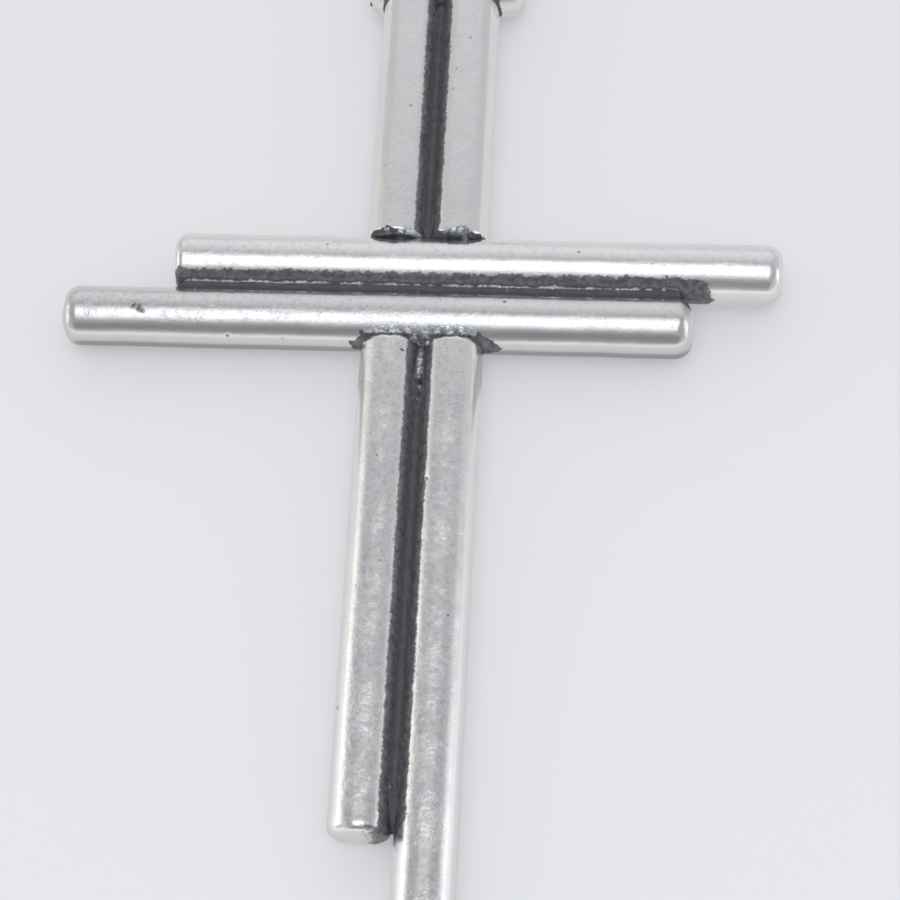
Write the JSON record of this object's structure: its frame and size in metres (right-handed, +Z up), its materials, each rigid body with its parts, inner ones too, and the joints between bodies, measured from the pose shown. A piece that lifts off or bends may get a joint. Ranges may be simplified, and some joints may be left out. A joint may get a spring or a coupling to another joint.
{
  "type": "cross pendant",
  "caption": "Flat cross of solid round rods soldered side by side, with staggered ends and a fixed drilled bail for a neck chain.",
  "frame": {"origin": "in the bail's bore, on its axis and on the line between the two stem rods", "axes": "+Z up the stem, from the long stem rods towards the bail; +X to the right as the front is seen; the front faces -Y; X is also the bore's axis"},
  "size_m": [0.0451, 0.0038, 0.0671],
  "materials": {
    "polished_silver": "polished sterling silver with fine scratches, darkened towards the grooves",
    "oxidised_solder": "silver solder, rough and blackened by liver of sulphur, with a few bright specks"
  },
  "bodies": {
    "root": {"upper_crossbar": "polished_silver", "lower_crossbar": "polished_silver", "upper_stem_left": "polished_silver", "upper_stem_right": "polished_silver", "lower_stem_left": "polished_silver", "lower_stem_right": "polished_silver", "bail_tube": "polished_silver", "crossbar_seam_solder": "oxidised_solder", "upper_stem_seam_solder": "oxidised_solder", "lower_stem_seam_solder": "oxidised_solder", "upper_joint_solder": "oxidised_solder", "lower_joint_solder": "oxidised_solder", "bail_joint_solder": "oxidised_solder"}
  },
  "joints": []
}
